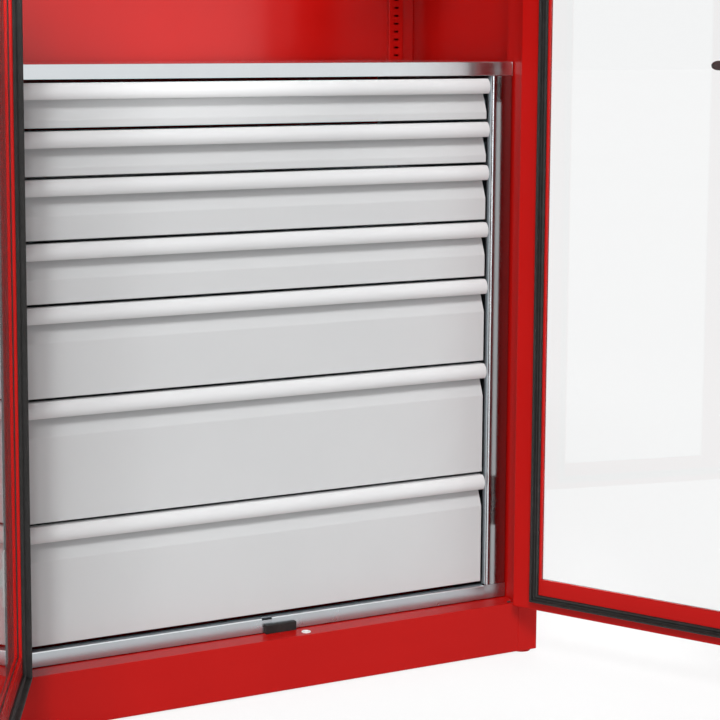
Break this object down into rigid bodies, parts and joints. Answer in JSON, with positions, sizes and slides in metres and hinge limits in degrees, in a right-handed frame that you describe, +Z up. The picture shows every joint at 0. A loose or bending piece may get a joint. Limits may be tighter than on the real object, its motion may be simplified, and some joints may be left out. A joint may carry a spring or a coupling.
{
  "type": "tool cabinet",
  "caption": "Free-standing steel cabinet with hinged glazed double doors, a stack of full-width drawers below and open shelving above.",
  "frame": {"origin": "on the floor, centre of the carcass footprint (the centre of the floor anchor holes)", "axes": "+Z up, front with the doors and drawers faces -Y, +X to the right seen from the front"},
  "size_m": [1.3958, 0.9209, 2],
  "materials": {
    "red_paint": "glossy powder coat",
    "grey_paint": "satin powder coat",
    "galvanised": "satin zinc",
    "bright_galvanised": "bright zinc",
    "rubber_black": "matt",
    "clear_glazing": "clear",
    "white_plastic": "moulded",
    "black_plastic": "moulded",
    "blackened_steel": "black oxide",
    "zinc_steel": "bright zinc",
    "chrome_trim": "polished"
  },
  "bodies": {
    "cabinet": {"side_panel_left": "red_paint", "side_panel_right": "red_paint", "back_panel": "red_paint", "top_panel": "red_paint", "base_tray": "red_paint", "levelling_feet": "red_paint", "shelf_uprights": "red_paint", "shelf_lower": "red_paint", "shelf_upper": "red_paint", "shelf_clips": "galvanised", "housing_sides": "galvanised", "housing_filler_panels": "bright_galvanised", "housing_bottom_rail": "galvanised", "housing_top": "galvanised", "housing_rear_braces": "galvanised", "drawer_slide_rails": "galvanised", "door_stop": "rubber_black", "rod_bushes": "white_plastic", "ledge_screws": "blackened_steel", "hinge_post_leaves": "zinc_steel", "hinge_pins": "zinc_steel"},
    "right_door": {"right_door_frame": "red_paint", "right_door_glazing_beads": "rubber_black", "right_door_pane": "clear_glazing", "right_door_seal": "rubber_black", "right_door_hinges": "zinc_steel", "lock_case": "zinc_steel", "rod_guides": "white_plastic", "lock_rosette": "black_plastic"},
    "left_door": {"left_door_frame": "red_paint", "left_door_glazing_beads": "rubber_black", "left_door_pane": "clear_glazing", "left_door_seal": "rubber_black", "left_door_hinges": "zinc_steel", "left_door_overlap_strip": "red_paint"},
    "lock_handle": {"lock_handle": "black_plastic"},
    "lock_cylinder": {"lock_cylinder": "chrome_trim"},
    "upper_rod": {"upper_rod": "zinc_steel"},
    "lower_rod": {"lower_rod": "zinc_steel"},
    "drawer_1": {"drawer_1_front": "grey_paint", "drawer_1_grip": "grey_paint", "drawer_1_tray": "galvanised"},
    "drawer_2": {"drawer_2_front": "grey_paint", "drawer_2_grip": "grey_paint", "drawer_2_tray": "galvanised"},
    "drawer_3": {"drawer_3_front": "grey_paint", "drawer_3_grip": "grey_paint", "drawer_3_tray": "galvanised"},
    "drawer_4": {"drawer_4_front": "grey_paint", "drawer_4_grip": "grey_paint", "drawer_4_tray": "galvanised"},
    "drawer_5": {"drawer_5_front": "grey_paint", "drawer_5_grip": "grey_paint", "drawer_5_tray": "galvanised"},
    "drawer_6": {"drawer_6_front": "grey_paint", "drawer_6_grip": "grey_paint", "drawer_6_tray": "galvanised"},
    "drawer_7": {"drawer_7_front": "grey_paint", "drawer_7_grip": "grey_paint", "drawer_7_tray": "galvanised"}
  },
  "joints": [
    {"name": "right_door_hinge", "type": "hinge", "parent": "cabinet", "child": "right_door", "pos_m": [0.485, -0.232, 1.0265], "axis": [0, 0, 1], "range_deg": [-116, 0]},
    {"name": "left_door_hinge", "type": "hinge", "parent": "cabinet", "child": "left_door", "pos_m": [-0.485, -0.232, 1.0265], "axis": [0, 0, -1], "range_deg": [-116, 0]},
    {"name": "drawer_1_slide", "type": "slide", "parent": "cabinet", "child": "drawer_1", "axis": [0, -1, 0], "range_m": [0, 0.28]},
    {"name": "drawer_2_slide", "type": "slide", "parent": "cabinet", "child": "drawer_2", "axis": [0, -1, 0], "range_m": [0, 0.28]},
    {"name": "drawer_3_slide", "type": "slide", "parent": "cabinet", "child": "drawer_3", "axis": [0, -1, 0], "range_m": [0, 0.28]},
    {"name": "drawer_4_slide", "type": "slide", "parent": "cabinet", "child": "drawer_4", "axis": [0, -1, 0], "range_m": [0, 0.28]},
    {"name": "drawer_5_slide", "type": "slide", "parent": "cabinet", "child": "drawer_5", "axis": [0, -1, 0], "range_m": [0, 0.28]},
    {"name": "drawer_6_slide", "type": "slide", "parent": "cabinet", "child": "drawer_6", "axis": [0, -1, 0], "range_m": [0, 0.28]},
    {"name": "drawer_7_slide", "type": "slide", "parent": "cabinet", "child": "drawer_7", "axis": [0, -1, 0], "range_m": [0, 0.28]},
    {"name": "lock_handle_turn", "type": "hinge", "parent": "right_door", "child": "lock_handle", "pos_m": [0.67203, -0.63144, 1.05], "axis": [-0.8988, -0.4384, 0], "range_deg": [0, 90]},
    {"name": "lock_cylinder_turn", "type": "hinge", "parent": "lock_handle", "child": "lock_cylinder", "pos_m": [0.67203, -0.63144, 1.05], "axis": [-0.8988, -0.4384, 0], "range_deg": [0, 90]},
    {"name": "upper_rod_slide", "type": "slide", "parent": "right_door", "child": "upper_rod", "axis": [0, 0, 1], "range_m": [0, 0.0181]},
    {"name": "lower_rod_slide", "type": "slide", "parent": "right_door", "child": "lower_rod", "axis": [0, 0, -1], "range_m": [0, 0.0181]}
  ],
  "couplings": [
    {"joint": "upper_rod_slide", "follows": "lock_handle_turn", "m_per_rad": 0.011459},
    {"joint": "lower_rod_slide", "follows": "lock_handle_turn", "m_per_rad": 0.011459}
  ]
}
